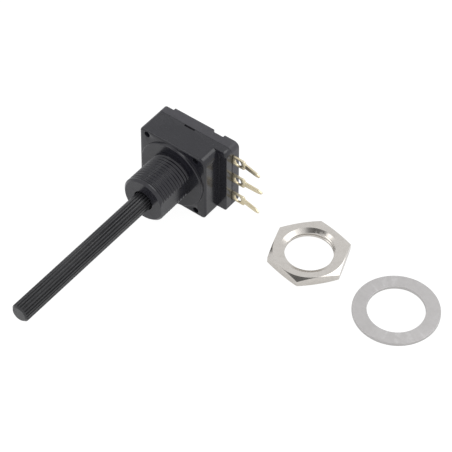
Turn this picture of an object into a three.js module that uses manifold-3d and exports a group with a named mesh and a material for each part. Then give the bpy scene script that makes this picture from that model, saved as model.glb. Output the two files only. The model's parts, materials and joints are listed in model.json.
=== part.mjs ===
// Rotary encoder with a threaded bushing, a splined shaft and three solder terminals,
// shown lying on one side of its square body, with its mounting nut and washer beside it.
// Millimetres. +Z is up, the shaft points along -Y, the terminals point along +X.
// The origin is the middle of the front housing's underside, below the shaft axis.
import * as THREE from 'three';
import { mergeVertices } from 'three/addons/utils/BufferGeometryUtils.js';
import Module from 'manifold-3d';

const wasm = await Module();
wasm.setup();

// ---- driving dimensions: body ----
const bodyWidth = 16.2;
const bodyHeight = 15.8;
const frontWall = 1.6;
const sideWall = 2.0;
const coverDepth = 1.8;
const cornerRadius = 0.9;
const frontEdge = 0.3;
const flangeReach = 1.85;
const flangeDepth = 1.7;
const flangeCorner = 1.2;
const flangeFoot = 0.4;
const bossMargin = 0.4;
const bossHeight = 0.6;
const latchWidth = 2.5;
const latchDepth = 0.4;
const latchDrop = 0.6;
const latchOffset = -0.28;

// ---- driving dimensions: pads on the rear face ----
const padDepth = 0.55;
const padInset = 2.3;
const notchWidth = 2.5;
const notchInset = 3.55;

// ---- driving dimensions: bushing and its thread ----
const bushingLength = 9.25;
const threadRadius = 4.95;
const threadDepth = 0.4;
const threadPitch = 0.75;
const threadLand = 0.25;
const threadCrest = 0.1;
const threadLead = 0.65;
const leadChamfer = 0.45;
const flatDepth = 0.5;
const mouthGap = 0.25;
const mouthDepth = 0.5;

// ---- driving dimensions: shaft ----
const shaftRadius = 1.95;
const shaftReach = 36.1;
const splineCount = 20;
const splineDepth = 0.22;
const splineGroove = 0.4;
const tipChamfer = 0.45;
const collarLip = 0.9;
const collarThickness = 0.6;
const thrustThickness = 0.25;
const keyDepth = 0.55;
const pivotRadius = 0.9;
const pivotLength = 1.7;
const sealGrooveWidth = 0.9;
const sealGrooveDepth = 0.6;
const sealCord = 0.3;
const sealSetback = 4.0;

// ---- driving dimensions: detent ----
const detentCount = 24;
const detentDepth = 0.2;
const wheelThickness = 1.3;
const ballRadius = 0.6;
const pocketWall = 0.7;
const springTurns = 3.5;
const springWire = 0.22;
const springLength = 1.7;

// ---- driving dimensions: contacts ----
const carrierThickness = 0.7;
const contactRoom = 1.28;
const wiperThickness = 0.15;
const wiperWidth = 0.7;
const wiperRun = 2.2;
const wiperHeel = 0.3;
const wiperToe = 0.6;
const wiperBore = 0.4;
const wiperRim = 0.2;
const trackThickness = 0.1;
const trackGap = 0.5;
const trackToPivot = 1.2;
const trackToRim = 0.5;
const trackTeeth = 12;
const trackRim = 0.3;
const plateThickness = 0.9;
const plateInset = 1.4;
const plateCorner = 1.2;

// ---- driving dimensions: terminals ----
const terminalThickness = 0.4;
const terminalWidth = 1.05;
const footInset = 0.75;
const terminalSetback = 0.3;
const eyeHeight = 2.2;
const eyeCorner = 0.35;
const eyeHoleRadius = 0.78;
const eyeHoleReach = 1.4;
const eyeStart = 0.7;
const eyeEnd = 3.0;
const outerTerminalReach = 6.95;
const centreTerminalReach = 7.15;
const terminalBend = 0.65;
const bendStart = 3.25;
const tipTaper = 0.9;
const shoulderWidth = 0.9;
const tipWidth = 0.32;
const slotDepth = 1.2;

// ---- driving dimensions: assembly pins ----
const pinRadius = 0.55;
const pinLength = 6.6;
const pinSetback = 0.7;
const pinInsetLeft = 1.85;
const pinInsetRight = 2.5;
const pinInsetHeight = 1.0;
const pinToTerminal = 1.9;

// ---- driving dimensions: nut and washer ----
const nutAcrossFlats = 14.4;
const nutThickness = 2.0;
const nutMouth = 1.05;
const nutFaceInset = 0.1;
const nutThreadDepth = 0.28;
const nutBevel = Math.PI / 10;
const nutAngle = -10.5;
const nutX = 29.95;
const nutY = 1.5;
const washerRadius = 8.45;
const washerGap = 0.65;
const washerThickness = 0.6;
const washerEdge = 0.08;
const washerX = 51.1;
const washerY = 0.4;

// ---- named clearances ----
const runningClearance = 0.06;
const wheelClearance = 0.15;
const seatClearance = 0.03;
const stepClearance = 0.3;
const fitClearance = 0.05;
const slotClearance = 0.08;
const pinWall = 0.15;
const threadClearance = 0.25;
const cut = 0.5;
const joinLap = 0.1;
const roundSides = 40;

// ---- places worked out from the dimensions ----
const axisHeight = bodyHeight / 2;
const shaftStack = thrustThickness + collarThickness + wheelThickness + carrierThickness;
const housingDepth = frontWall + shaftStack + 2 * runningClearance + wheelClearance + contactRoom;
const frontY = -housingDepth / 2;
const seamY = housingDepth / 2;
const lowRearY = seamY + coverDepth;
const rearY = lowRearY + padDepth;
const innerWallY = frontY + frontWall;
const bushingTipY = frontY - bushingLength;
const mouthY = bushingTipY + mouthDepth;
const shaftTipY = bushingTipY - shaftReach;
const flangeX = bodyWidth / 2 + flangeReach;
const bossRadius = Math.min(bodyWidth, bodyHeight) / 2 - bossMargin;
const flatX = threadRadius - flatDepth;
const mouthRadius = shaftRadius + mouthGap;

const washerFaceY = innerWallY + thrustThickness;
const collarY = washerFaceY + runningClearance;
const collarRadius = shaftRadius + collarLip;
const wheelY = collarY + collarThickness + runningClearance;
const wheelMiddleY = wheelY + wheelThickness / 2;
const carrierY = wheelY + wheelThickness + wheelClearance;
const wiperY = carrierY + carrierThickness;
const trackY = seamY - trackThickness;
const keyFlat = shaftRadius - keyDepth;

const pocketRadius = axisHeight - pocketWall;
const springOuter = pocketRadius - fitClearance;
const springInner = springOuter - springLength;
const ballRestRadius = springInner - fitClearance - ballRadius;
// The ball seats on a valley's floor or, where the valleys are narrow, on its two crests.
const crestAngle = Math.PI / detentCount;
const seatReach = ballRadius + seatClearance;
const floorSeat = ballRestRadius - seatReach + detentDepth;
const crestDrop = Math.sqrt(Math.max(0, seatReach ** 2 - (ballRestRadius * Math.sin(crestAngle)) ** 2));
const crestSeat = ballRestRadius * Math.cos(crestAngle) - crestDrop;
const detentRadius = Math.min(floorSeat, crestSeat);
const wheelRoomRadius = detentRadius + stepClearance;
const carrierRoomRadius = axisHeight - sideWall;
const carrierRadius = carrierRoomRadius - stepClearance;

const commonTrackRadius = pivotRadius + trackToPivot;
const trackBRadius = carrierRadius - trackToRim;
const terminalFootX = trackBRadius - footInset;
const trackARadius = (commonTrackRadius + trackBRadius) / 2;
const trackWidth = trackARadius - commonTrackRadius - trackGap;

const pinLeft = -bodyWidth / 2 + pinInsetLeft;
const pinRight = bodyWidth / 2 - pinInsetRight;
const pinHeight = axisHeight - pinInsetHeight;
const pinEndY = frontY + pinSetback + pinLength;
const plateHalfWidth = bodyWidth / 2 - plateInset;
const plateHalfHeight = pinHeight - pinRadius - fitClearance - pinWall;
const terminalPitch = pinHeight - pinToTerminal;
const terminalY = seamY + terminalSetback;

const nutMinorRadius = threadRadius - threadClearance;
const nutMouthRadius = nutMinorRadius + nutMouth;
const washerHoleRadius = threadRadius + washerGap;

// ---- finishes ----
const black = { color: 0x35353a, roughness: 0.55, metalness: 0.0 };
const darkCover = { color: 0x3b3b42, roughness: 0.6, metalness: 0.0 };
const innerPlastic = { color: 0xd8d2c0, roughness: 0.5, metalness: 0.0 };
const phenolic = { color: 0x6b4a2c, roughness: 0.7, metalness: 0.0 };
const rubber = { color: 0x151515, roughness: 0.8, metalness: 0.0 };
const steel = { color: 0xb9bbbd, roughness: 0.35, metalness: 1.0 };
const nickel = { color: 0xc9c6bf, roughness: 0.25, metalness: 1.0 };
const gold = { color: 0xd7c389, roughness: 0.3, metalness: 1.0 };
const copper = { color: 0xb87b4b, roughness: 0.35, metalness: 1.0 };

const encoder = new THREE.Group();

// ---- solid helpers ----

// Signed volume of an indexed closed mesh: positive when its faces point out.
function signedVolume(positions, triangles) {
  const a = new THREE.Vector3();
  const b = new THREE.Vector3();
  const c = new THREE.Vector3();
  let sum = 0;
  for (let i = 0; i < triangles.length; i += 3) {
    a.fromArray(positions, triangles[i] * 3);
    b.fromArray(positions, triangles[i + 1] * 3);
    c.fromArray(positions, triangles[i + 2] * 3);
    sum += a.dot(b.cross(c));
  }
  return sum / 6;
}

// A closed three.js geometry made a manifold solid whose faces point out.
function solid(geometry) {
  const bare = geometry.clone();
  bare.deleteAttribute('normal');
  bare.deleteAttribute('uv');
  const merged = mergeVertices(bare, 1e-4);
  const vertProperties = new Float32Array(merged.attributes.position.array);
  const triVerts = new Uint32Array(merged.index.array);
  if (signedVolume(vertProperties, triVerts) < 0) {
    for (let i = 0; i < triVerts.length; i += 3) {
      const swap = triVerts[i + 1];
      triVerts[i + 1] = triVerts[i + 2];
      triVerts[i + 2] = swap;
    }
  }
  return new wasm.Manifold(new wasm.Mesh({ numProp: 3, vertProperties, triVerts }));
}

function add(name, body, finish) {
  const mesh = body.getMesh();
  const geometry = new THREE.BufferGeometry();
  geometry.setAttribute('position', new THREE.BufferAttribute(mesh.vertProperties, 3));
  geometry.setIndex(new THREE.BufferAttribute(mesh.triVerts, 1));
  geometry.computeVertexNormals();
  const part = new THREE.Mesh(geometry, new THREE.MeshStandardMaterial(finish));
  part.name = name;
  encoder.add(part);
}

function box(x0, x1, y0, y1, z0, z1) {
  const shape = new THREE.BoxGeometry(x1 - x0, y1 - y0, z1 - z0);
  return solid(shape.translate((x0 + x1) / 2, (y0 + y1) / 2, (z0 + z1) / 2));
}

// An outline drawn in X and Z, run from y0 to y1.
function prism(outline, y0, y1, curveSegments = 6) {
  const shape = new THREE.ExtrudeGeometry(outline, { depth: y1 - y0, bevelEnabled: false, curveSegments });
  return solid(shape.rotateX(Math.PI / 2).translate(0, y1, 0));
}

// A profile of [radius, y] pairs turned about the shaft axis.
function turned(profile, sides = roundSides) {
  const points = profile.map(([radius, y]) => new THREE.Vector2(radius, y));
  return solid(new THREE.LatheGeometry(points, sides).translate(0, 0, axisHeight));
}

// A solid round bar on the shaft axis.
function bar(radius, y0, y1, sides = roundSides) {
  return turned([[0, y0], [radius, y0], [radius, y1], [0, y1]], sides);
}

// A flat ring on the shaft axis.
function ring(inner, outer, y0, y1, sides = roundSides) {
  return turned([[inner, y0], [outer, y0], [outer, y1], [inner, y1], [inner, y0]], sides);
}

// A round bar along Y at any place.
function pegAt(x, z, radius, y0, y1, sides = 20) {
  const shape = new THREE.CylinderGeometry(radius, radius, y1 - y0, sides);
  return solid(shape.translate(x, (y0 + y1) / 2, z));
}

// A rectangle in X and Z with four corner radii, named from above and from the front.
function roundedOutline(x0, x1, z0, z1, corners) {
  const { topLeft, topRight, lowRight, lowLeft } = corners;
  const outline = new THREE.Shape();
  outline.moveTo(x0 + lowLeft, z0);
  outline.lineTo(x1 - lowRight, z0);
  outline.absarc(x1 - lowRight, z0 + lowRight, lowRight, -Math.PI / 2, 0, false);
  outline.lineTo(x1, z1 - topRight);
  outline.absarc(x1 - topRight, z1 - topRight, topRight, 0, Math.PI / 2, false);
  outline.lineTo(x0 + topLeft, z1);
  outline.absarc(x0 + topLeft, z1 - topLeft, topLeft, Math.PI / 2, Math.PI, false);
  outline.lineTo(x0, z0 + lowLeft);
  outline.absarc(x0 + lowLeft, z0 + lowLeft, lowLeft, Math.PI, Math.PI * 1.5, false);
  return outline;
}

// A closed outline about the shaft axis from radius as a function of angle.
function polarOutline(radiusAt, steps) {
  const outline = new THREE.Shape();
  for (let i = 0; i < steps; i += 1) {
    const angle = (i / steps) * Math.PI * 2;
    const radius = radiusAt(angle);
    const x = radius * Math.cos(angle);
    const z = axisHeight + radius * Math.sin(angle);
    if (i === 0) outline.moveTo(x, z);
    else outline.lineTo(x, z);
  }
  outline.closePath();
  return outline;
}

// A bar on the shaft axis with one flat, the key that turns the wheel and the carrier.
function keyBar(radius, flat, y0, y1) {
  return bar(radius, y0, y1).subtract(box(flat, flat + radius, y0 - cut, y1 + cut, 0, bodyHeight));
}

// The body seen from the front: the left corners are the same all through its depth.
function bodyOutline(x1, topRight, lowRight) {
  const corners = { topLeft: cornerRadius, topRight, lowRight, lowLeft: cornerRadius };
  return roundedOutline(-bodyWidth / 2, x1, 0, bodyHeight, corners);
}

// The same, as wide as the flange that carries the terminals.
function flangeOutline() {
  return bodyOutline(flangeX, flangeCorner, flangeFoot);
}

// ---- places that repeat ----
const pinPlaces = [
  [pinLeft, axisHeight + pinHeight],
  [pinRight, axisHeight + pinHeight],
  [pinLeft, axisHeight - pinHeight],
  [pinRight, axisHeight - pinHeight],
];
const terminalHeights = [axisHeight + terminalPitch, axisHeight, axisHeight - terminalPitch];

// ---- front housing with its bushing ----

// The thread: one ridge to a pitch, from the land at the boss to the smooth lead at the mouth.
function threadProfile() {
  const start = frontY - bossHeight - threadLand;
  const end = bushingTipY + threadLead;
  const turns = Math.floor((start - end - threadDepth / 2) / threadPitch);
  const root = threadRadius - threadDepth;
  const profile = [[0, innerWallY - cut], [threadRadius, innerWallY - cut], [threadRadius, start]];
  profile.push([root, start - threadDepth / 2]);
  for (let i = 0; i < turns; i += 1) {
    const crestY = start - threadDepth / 2 - (i + 0.5) * threadPitch;
    profile.push([threadRadius, crestY + threadCrest / 2]);
    profile.push([threadRadius, crestY - threadCrest / 2]);
    profile.push([root, crestY - threadPitch / 2]);
  }
  profile.push([threadRadius, start - turns * threadPitch - threadDepth]);
  profile.push([threadRadius, bushingTipY + leadChamfer]);
  profile.push([threadRadius - leadChamfer, bushingTipY]);
  profile.push([0, bushingTipY]);
  return profile;
}

function bushing() {
  const reach = threadRadius + cut;
  const z0 = axisHeight - reach;
  const flatted = box(-reach, flatX, bushingTipY - cut, innerWallY, z0, z0 + reach * 2);
  return turned(threadProfile()).intersect(flatted);
}

// The block of the housing, its front rim rounded; the flange takes in the rounded rear rim.
function roundedBlock(outline) {
  const depth = seamY - frontY - frontEdge * 2;
  const rim = { bevelThickness: frontEdge, bevelSize: frontEdge, bevelOffset: -frontEdge };
  const settings = { depth, bevelEnabled: true, bevelSegments: 3, curveSegments: 6, ...rim };
  const shape = new THREE.ExtrudeGeometry(outline, settings);
  return solid(shape.rotateX(Math.PI / 2).translate(0, seamY - frontEdge, 0));
}

function housingBlock() {
  const half = bodyWidth / 2;
  const block = roundedBlock(bodyOutline(half, cornerRadius * 2, cornerRadius));
  const flange = prism(flangeOutline(), seamY - flangeDepth, seamY);
  const boss = bar(bossRadius, frontY - bossHeight, innerWallY);
  return block.add(flange).add(boss);
}

function housingHollow() {
  const stepY = carrierY - runningClearance;
  const wheelRoom = bar(wheelRoomRadius, innerWallY, stepY + cut);
  const carrierRoom = bar(carrierRoomRadius, stepY, seamY + cut);
  const bore = bar(shaftRadius + runningClearance, bushingTipY - cut, innerWallY + cut);
  const mouth = bar(mouthRadius, bushingTipY - cut, mouthY);
  return wheelRoom.add(carrierRoom).add(bore).add(mouth);
}

// The pocket that guides the ball and holds its spring, open to the rear for assembly.
function ballPocket() {
  const half = ballRadius + fitClearance;
  const floorZ = axisHeight - pocketRadius;
  return box(-half, half, wheelMiddleY - half, seamY + cut, floorZ, axisHeight - detentRadius);
}

function frontHousing() {
  let body = housingBlock().add(bushing());
  body = body.subtract(housingHollow()).subtract(ballPocket());
  const latchLeft = latchOffset - latchWidth / 2;
  const latchZ = bodyHeight - latchDrop;
  const latchY = seamY - latchDepth;
  const latch = box(latchLeft, latchLeft + latchWidth, latchY, seamY + cut, latchZ, bodyHeight + cut);
  body = body.subtract(latch);
  for (const [x, z] of pinPlaces) {
    body = body.subtract(pegAt(x, z, pinRadius + fitClearance, frontY - cut, seamY + cut));
  }
  return body;
}

// ---- rear cover ----

// The raised pads of the rear face, with the step at the left and the notch near the right.
function coverPads() {
  const padLeft = -bodyWidth / 2 + padInset;
  const notchRight = flangeX - notchInset;
  const notchLeft = notchRight - notchWidth;
  const pads = prism(flangeOutline(), lowRearY - joinLap, rearY);
  const step = box(-bodyWidth, padLeft, lowRearY, rearY + cut, -cut, bodyHeight + cut);
  const notch = box(notchLeft, notchRight, lowRearY, rearY + cut, -cut, bodyHeight + cut);
  return pads.subtract(step).subtract(notch);
}

function plateOutline(gap) {
  const half = plateHalfWidth + gap;
  const z0 = axisHeight - plateHalfHeight - gap;
  const r = plateCorner;
  const corners = { topLeft: r, topRight: r, lowRight: r, lowLeft: r };
  return roundedOutline(-half, half, z0, bodyHeight - z0, corners);
}

// One terminal's way out: a close slit at the seam, then a taller notch in the cover's side.
function terminalBay(z) {
  const half = terminalWidth / 2 + fitClearance;
  const slitY = terminalY + terminalThickness / 2 + fitClearance;
  const slit = box(plateHalfWidth - cut, flangeX + cut, seamY - cut, slitY, z - half, z + half);
  const bayHalf = eyeHeight / 2 + slotClearance;
  const bayY = terminalY + terminalThickness / 2 + slotClearance;
  const bay = box(flangeX - slotDepth, flangeX + cut, seamY - cut, bayY, z - bayHalf, z + bayHalf);
  return slit.add(bay);
}

function rearCover() {
  const shell = prism(flangeOutline(), seamY, lowRearY);
  const plateRoom = prism(plateOutline(fitClearance), seamY - cut, seamY + plateThickness + fitClearance);
  let body = shell.add(coverPads()).subtract(plateRoom);
  for (const z of terminalHeights) {
    body = body.subtract(terminalBay(z));
  }
  for (const [x, z] of pinPlaces) {
    body = body.subtract(pegAt(x, z, pinRadius + fitClearance, seamY - cut, pinEndY + fitClearance));
  }
  return body;
}

// ---- shaft and what turns with it ----

// Radius of the splined stretch: flat crests, and grooves that take their share of the pitch.
function splineRadius(angle) {
  const phase = ((angle * splineCount) / (Math.PI * 2)) % 1;
  return Math.abs(phase - 0.5) < splineGroove / 2 ? shaftRadius - splineDepth : shaftRadius;
}

function shaftSpline() {
  const spline = prism(polarOutline(splineRadius, splineCount * 5), shaftTipY, mouthY);
  const reach = shaftRadius + cut;
  const shoulder = shaftTipY + tipChamfer + cut;
  const tip = [[0, shaftTipY], [shaftRadius - tipChamfer, shaftTipY], [reach, shoulder]];
  return spline.intersect(turned([...tip, [reach, mouthY], [0, mouthY]]));
}

function shaft() {
  const sealY = bushingTipY + sealSetback;
  const journal = bar(shaftRadius, mouthY - joinLap, collarY + joinLap);
  const collar = bar(collarRadius, collarY, collarY + collarThickness);
  const key = keyBar(shaftRadius, keyFlat, collarY + collarThickness - joinLap, wiperY);
  const pivot = bar(pivotRadius, wiperY - joinLap, wiperY + pivotLength, 24);
  const groove = ring(shaftRadius - sealGrooveDepth, shaftRadius + cut, sealY, sealY + sealGrooveWidth);
  return shaftSpline().add(journal).subtract(groove).add(collar).add(key).add(pivot);
}

// The rubber ring that lies in the shaft's groove.
function shaftSeal() {
  const middle = shaftRadius + runningClearance / 2 - sealCord;
  const y = bushingTipY + sealSetback + sealGrooveWidth / 2;
  const torus = new THREE.TorusGeometry(middle, sealCord, 6, 28);
  return solid(torus.rotateX(Math.PI / 2).translate(0, y, axisHeight));
}

function thrustWasher() {
  return ring(shaftRadius + stepClearance, collarRadius, innerWallY, washerFaceY);
}

// The hole that fits over the shaft's key, right through a piece from y0 to y1.
function keyHole(y0, y1) {
  return keyBar(shaftRadius + fitClearance, keyFlat + fitClearance, y0 - cut, y1 + cut);
}

// The notched wheel: one shallow valley to a detent, a valley straight below the axis.
function detentWheel() {
  const wave = (angle) => 1 + Math.cos(detentCount * (angle + Math.PI / 2));
  const edge = (angle) => detentRadius - (detentDepth / 2) * wave(angle);
  const wheel = prism(polarOutline(edge, detentCount * 5), wheelY, wheelY + wheelThickness);
  return wheel.subtract(keyHole(wheelY, wheelY + wheelThickness));
}

function contactCarrier() {
  return bar(carrierRadius, carrierY, wiperY).subtract(keyHole(carrierY, wiperY));
}

// One spring finger: a sloping strip from the wiper's ring to a track, then a foot that rubs on it.
function wiperFinger(radius, turn) {
  const rise = trackY - runningClearance - wiperY;
  const slope = new THREE.Shape();
  slope.moveTo(0, 0);
  slope.lineTo(wiperRun, rise - wiperThickness);
  slope.lineTo(wiperRun + wiperToe, rise - wiperThickness);
  slope.lineTo(wiperRun + wiperToe, rise);
  slope.lineTo(wiperRun, rise);
  slope.lineTo(-wiperHeel, wiperThickness);
  slope.lineTo(-wiperHeel, 0);
  slope.closePath();
  const strip = new THREE.ExtrudeGeometry(slope, { depth: wiperWidth, bevelEnabled: false });
  strip.translate(-wiperRun / 2, wiperY, -wiperWidth / 2 + radius);
  strip.rotateY(turn).translate(0, 0, axisHeight);
  return solid(strip);
}

function contactWiper() {
  const rim = carrierRadius - wiperRim;
  let wiper = ring(pivotRadius + wiperBore, rim, wiperY, wiperY + wiperThickness);
  [commonTrackRadius, trackARadius, trackBRadius].forEach((radius, i) => {
    wiper = wiper.add(wiperFinger(radius, (i * Math.PI * 2) / 3));
  });
  return wiper;
}

// ---- detent ball and spring, below the axis ----

function detentBall() {
  const ball = new THREE.SphereGeometry(ballRadius, 16, 10);
  return solid(ball.translate(0, wheelMiddleY, axisHeight - ballRestRadius));
}

// The middle of the spring's wire, from the ball down to the pocket's floor.
class SpringPath extends THREE.Curve {
  getPoint(t, target = new THREE.Vector3()) {
    const angle = t * springTurns * Math.PI * 2;
    const radius = ballRadius - springWire / 2 - fitClearance;
    const z = axisHeight - springInner - springWire / 2 - t * (springLength - springWire);
    return target.set(radius * Math.cos(angle), wheelMiddleY + radius * Math.sin(angle), z);
  }
}

function detentSpring() {
  const wire = new THREE.Shape();
  wire.absarc(0, 0, springWire / 2, 0, Math.PI * 2, false);
  const steps = Math.round(springTurns * 10);
  const settings = { steps, extrudePath: new SpringPath(), curveSegments: 3, bevelEnabled: false };
  return solid(new THREE.ExtrudeGeometry(wire, settings));
}

// ---- contact plate, tracks and terminals ----

function contactPlate() {
  const rearFace = seamY + plateThickness;
  const half = terminalWidth / 2 + fitClearance;
  const grooveX = terminalFootX - fitClearance;
  const grooveY = terminalY - terminalThickness / 2;
  let plate = prism(plateOutline(0), seamY, rearFace);
  plate = plate.subtract(bar(pivotRadius + runningClearance, seamY - cut, rearFace + cut, 24));
  for (const z of terminalHeights) {
    plate = plate.subtract(box(grooveX, flangeX, grooveY, rearFace + cut, z - half, z + half));
  }
  return plate;
}

function plainTrack() {
  return ring(commonTrackRadius - trackWidth / 2, commonTrackRadius + trackWidth / 2, trackY, seamY);
}

// A signal track: a narrow ring with one tooth to each on-off cycle.
function signalTrack(radius, phase) {
  const inner = radius - trackWidth / 2;
  const outer = radius + trackWidth / 2;
  const rim = inner + trackWidth * trackRim;
  const toothed = (angle) => {
    const cycle = ((angle * trackTeeth) / (Math.PI * 2) + phase) % 1;
    return cycle < 0.5 ? outer : rim;
  };
  const disc = prism(polarOutline(toothed, trackTeeth * 4), trackY, seamY);
  return disc.subtract(bar(inner, trackY - cut, seamY + cut));
}

// The flat outline of a terminal: narrow foot, taller eye with its hole, tapering shank.
function terminalOutline(reach, z) {
  const half = terminalWidth / 2;
  const eyeHalf = eyeHeight / 2;
  const rootX = flangeX - eyeStart;
  const roundX = flangeX + eyeEnd - eyeCorner;
  const tipX = flangeX + reach;
  const outline = new THREE.Shape();
  outline.moveTo(terminalFootX, z - half);
  outline.lineTo(rootX, z - half);
  outline.lineTo(rootX, z - eyeHalf);
  outline.absarc(roundX, z - eyeHalf + eyeCorner, eyeCorner, -Math.PI / 2, 0, false);
  outline.lineTo(flangeX + eyeEnd, z - half);
  outline.lineTo(tipX - tipTaper, z - shoulderWidth / 2);
  outline.lineTo(tipX, z - tipWidth / 2);
  outline.lineTo(tipX, z + tipWidth / 2);
  outline.lineTo(tipX - tipTaper, z + shoulderWidth / 2);
  outline.lineTo(flangeX + eyeEnd, z + half);
  outline.absarc(roundX, z + eyeHalf - eyeCorner, eyeCorner, 0, Math.PI / 2, false);
  outline.lineTo(rootX, z + eyeHalf);
  outline.lineTo(rootX, z + half);
  outline.lineTo(terminalFootX, z + half);
  outline.closePath();
  const hole = new THREE.Path();
  hole.absarc(flangeX + eyeHoleReach, z, eyeHoleRadius, 0, Math.PI * 2, true);
  outline.holes.push(hole);
  return outline;
}

// The shank leans forward from just beyond the eye.
function leanForward(geometry, bend, fromX, toX) {
  const place = geometry.attributes.position;
  for (let i = 0; i < place.count; i += 1) {
    const share = Math.max(0, (place.getX(i) - fromX) / (toX - fromX));
    place.setY(i, place.getY(i) - bend * share);
  }
  return geometry;
}

function terminal(reach, bend, z) {
  const settings = { depth: terminalThickness, bevelEnabled: false, curveSegments: 7 };
  const blade = new THREE.ExtrudeGeometry(terminalOutline(reach, z), settings);
  blade.rotateX(Math.PI / 2).translate(0, terminalY + terminalThickness / 2, 0);
  return solid(leanForward(blade, bend, flangeX + bendStart, flangeX + reach));
}

// ---- nut and washer, lying on the surface that the body lies on ----

function mountingNut() {
  const hexRadius = nutAcrossFlats / Math.sqrt(3);
  const hex = new THREE.CylinderGeometry(hexRadius, hexRadius, nutThickness, 6);
  hex.rotateX(Math.PI / 2).rotateZ(Math.PI / 6 + THREE.MathUtils.degToRad(nutAngle + 60));
  hex.translate(0, 0, nutThickness / 2);
  const bevelled = new THREE.LatheGeometry(nutProfile(), roundSides).rotateX(Math.PI / 2);
  const nut = solid(hex).intersect(solid(bevelled));
  return nut.translate([nutX, nutY, 0]);
}

// Half section of the nut's round blank: chamfered rims, chamfered mouths and a coarse thread.
function nutProfile() {
  const blank = nutAcrossFlats / Math.sqrt(3);
  const rim = nutAcrossFlats / 2 - nutFaceInset;
  const drop = (blank - rim) * Math.tan(nutBevel);
  const mouth = nutMouth / 2;
  const profile = [[nutMouthRadius, 0], [rim, 0], [blank, drop]];
  profile.push([blank, nutThickness - drop], [rim, nutThickness]);
  profile.push([nutMouthRadius, nutThickness], [nutMinorRadius, nutThickness - mouth]);
  const turns = Math.floor((nutThickness - mouth * 2) / threadPitch);
  for (let i = 0; i < turns; i += 1) {
    const z = nutThickness - mouth - i * threadPitch;
    profile.push([nutMinorRadius + nutThreadDepth, z - threadPitch / 2]);
    profile.push([nutMinorRadius, z - threadPitch]);
  }
  profile.push([nutMinorRadius, mouth], [nutMouthRadius, 0]);
  return profile.map(([radius, z]) => new THREE.Vector2(radius, z));
}

function mountingWasher() {
  const edge = washerEdge;
  const rise = washerThickness - edge;
  const inner = [[washerHoleRadius, edge], [washerHoleRadius + edge, 0]];
  const outer = [[washerRadius - edge, 0], [washerRadius, edge], [washerRadius, rise]];
  const above = [[washerRadius - edge, washerThickness], [washerHoleRadius + edge, washerThickness]];
  const profile = [...inner, ...outer, ...above, [washerHoleRadius, rise], inner[0]];
  const points = profile.map(([radius, z]) => new THREE.Vector2(radius, z));
  const washer = new THREE.LatheGeometry(points, roundSides).rotateX(Math.PI / 2);
  return solid(washer.translate(washerX, washerY, 0));
}

// ---- the assembly ----
add('front_housing', frontHousing(), black);
add('rear_cover', rearCover(), darkCover);
pinPlaces.forEach(([x, z], i) => {
  const y0 = frontY + pinSetback;
  add(`assembly_pin_${i + 1}`, pegAt(x, z, pinRadius, y0, y0 + pinLength), black);
});
add('shaft', shaft(), black);
add('shaft_seal', shaftSeal(), rubber);
add('thrust_washer', thrustWasher(), steel);
add('detent_wheel', detentWheel(), innerPlastic);
add('detent_ball', detentBall(), steel);
add('detent_spring', detentSpring(), steel);
add('contact_carrier', contactCarrier(), innerPlastic);
add('contact_wiper', contactWiper(), copper);
add('contact_plate', contactPlate(), phenolic);
add('track_common', plainTrack(), copper);
add('track_a', signalTrack(trackARadius, 0), copper);
add('track_b', signalTrack(trackBRadius, 0.25), copper);
add('terminal_a', terminal(outerTerminalReach, terminalBend, terminalHeights[0]), gold);
add('terminal_common', terminal(centreTerminalReach, 0, terminalHeights[1]), gold);
add('terminal_b', terminal(outerTerminalReach, terminalBend, terminalHeights[2]), gold);
add('mounting_nut', mountingNut(), nickel);
add('mounting_washer', mountingWasher(), steel);

export default encoder;
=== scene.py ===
import bpy
import bmesh
import json
from math import atan2, cos, pi, radians, sin
from mathutils import Matrix, Vector


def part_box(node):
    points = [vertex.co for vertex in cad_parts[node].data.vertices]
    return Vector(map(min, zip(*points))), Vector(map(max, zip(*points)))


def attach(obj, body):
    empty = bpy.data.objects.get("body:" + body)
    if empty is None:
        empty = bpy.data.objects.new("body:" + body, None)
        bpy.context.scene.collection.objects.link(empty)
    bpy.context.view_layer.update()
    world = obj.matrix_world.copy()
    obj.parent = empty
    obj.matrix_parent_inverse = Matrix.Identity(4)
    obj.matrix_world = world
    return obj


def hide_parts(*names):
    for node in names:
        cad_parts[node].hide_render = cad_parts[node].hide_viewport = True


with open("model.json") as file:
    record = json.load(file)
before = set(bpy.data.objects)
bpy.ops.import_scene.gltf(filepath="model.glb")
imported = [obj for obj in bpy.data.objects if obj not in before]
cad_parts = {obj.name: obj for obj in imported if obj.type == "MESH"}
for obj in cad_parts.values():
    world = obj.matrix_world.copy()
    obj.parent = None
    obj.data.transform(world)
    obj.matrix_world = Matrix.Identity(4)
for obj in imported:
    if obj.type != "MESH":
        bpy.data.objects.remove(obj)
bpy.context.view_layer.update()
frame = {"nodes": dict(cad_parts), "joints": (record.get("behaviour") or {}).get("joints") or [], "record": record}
print("frame loaded:", len(frame["nodes"]), "nodes")

# Pieces are drawn in millimetres and turned to metres when they are finished.
perMetre = 1000.0
pastFace = 1.0          # how far a cutter runs out past the face that it cuts
sunk = 0.5              # how far a joined shape reaches into its neighbour
lap = 0.2               # overlap of shapes that are joined end to end
fineGap = 0.0005        # points this close are one point
meshGap = 0.002         # the same, after a cut or a join
onPlane = 0.001         # a point this near a plane lies in it
flatAngle = 0.5         # degrees: faces that meet at less are one face


def boxOf(node):
    low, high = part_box(node)
    return low * perMetre, high * perMetre


def jointPlace(name):
    joint = next(j for j in frame["joints"] if j["name"] == name)
    return Vector(joint["pos_m"]) * perMetre


def mountPlace(name):
    mount = next(m for m in frame["record"]["mounts"] if m["name"] == name)
    return Vector(mount["pos_m"]) * perMetre


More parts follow.
